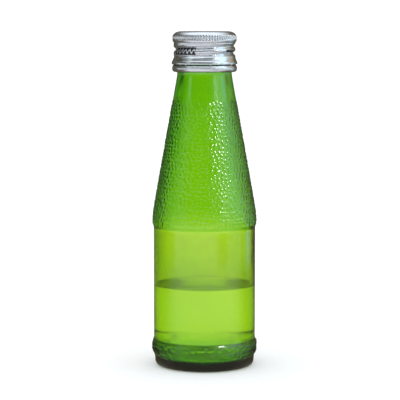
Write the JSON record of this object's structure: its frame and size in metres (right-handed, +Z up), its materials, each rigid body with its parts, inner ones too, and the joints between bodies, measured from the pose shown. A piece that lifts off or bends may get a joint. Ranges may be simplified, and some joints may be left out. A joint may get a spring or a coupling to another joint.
{
  "type": "glass soda bottle",
  "caption": "Small tapered glass soda bottle with pebbled shoulder and heel, part filled, closed by a roll-on aluminium screw cap with a loose tamper band.",
  "frame": {"origin": "middle of the ring that the bottle stands on, at table height", "axes": "+Z up along the bottle's axis, from the base to the cap; -Y is the side seen from the front; +X to the right of it"},
  "size_m": [0.0464, 0.0464, 0.1491],
  "materials": {
    "green_glass": "gloss",
    "soda": "gloss",
    "cap_aluminium": "satin",
    "liner_foam": "matte"
  },
  "bodies": {
    "bottle": {"glass_bottle": "green_glass", "soda": "soda"},
    "liner": {"cap_liner": "liner_foam"},
    "cap": {"cap_shell": "cap_aluminium"},
    "band": {"tamper_band": "cap_aluminium"}
  },
  "joints": [
    {"name": "cap_lift", "type": "slide", "parent": "bottle", "child": "liner", "axis": [0, 0, 1], "range_m": [0, 0.0145]},
    {"name": "cap_turn", "type": "hinge", "parent": "liner", "child": "cap", "pos_m": [0, 0, 0.1425], "axis": [0, 0, 1], "range_deg": [0, 1620]},
    {"name": "band_turn", "type": "hinge", "parent": "bottle", "child": "band", "pos_m": [0, 0, 0.1327], "axis": [0, 0, 1], "continuous": true}
  ],
  "couplings": [
    {"joint": "cap_lift", "follows": "cap_turn", "m_per_rad": 0.00050611}
  ]
}
